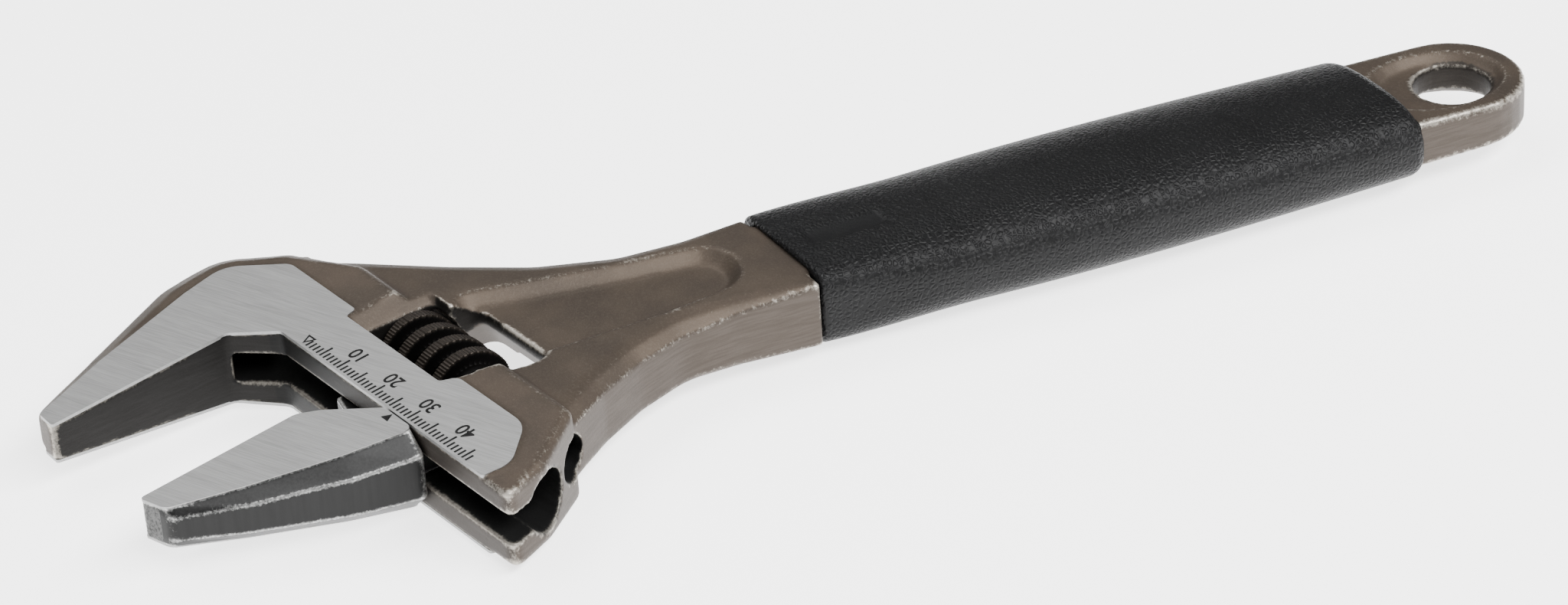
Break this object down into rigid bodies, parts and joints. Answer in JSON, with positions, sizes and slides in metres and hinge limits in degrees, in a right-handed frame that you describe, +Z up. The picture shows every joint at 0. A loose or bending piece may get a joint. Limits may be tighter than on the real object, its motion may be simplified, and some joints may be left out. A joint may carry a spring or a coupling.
{
  "type": "adjustable wrench",
  "caption": "Adjustable wrench with a wide tapered jaw, a worm-driven sliding jaw with a millimetre scale, a soft grip sleeve and a hang eye.",
  "frame": {"origin": "middle of the bottom of the bounding box, with the wrench lying flat and its jaw part open", "axes": "+X along the handle towards the hang eye, +Z up out of the flat face, +Y towards the fixed jaw side"},
  "size_m": [0.259, 0.0908, 0.0172],
  "materials": {
    "forged_steel": "forged, phosphated brown-grey satin with bare side faces",
    "ground_steel": "surface ground",
    "dark_steel": "oiled black",
    "bright_steel": "bright turned",
    "grip_rubber": "fine leather grain"
  },
  "bodies": {
    "wrench_body": {"body": "forged_steel", "grip_sleeve": "grip_rubber", "spindle_pin": "bright_steel", "knurl_spring": "bright_steel"},
    "jaw": {"movable_jaw": "ground_steel"},
    "knurl": {"adjusting_knurl": "dark_steel"}
  },
  "joints": [
    {"name": "jaw_slide", "type": "slide", "parent": "wrench_body", "child": "jaw", "axis": [0.247, -0.969, 0], "range_m": [-0.0271, 0.0186]},
    {"name": "knurl_spin", "type": "hinge", "parent": "wrench_body", "child": "knurl", "pos_m": [-0.06618, 0.00291, 0.00859], "axis": [0.247, -0.969, 0], "range_deg": [-1990, 1370]}
  ],
  "couplings": [
    {"joint": "knurl_spin", "follows": "jaw_slide", "rad_per_m": 1269.3}
  ]
}
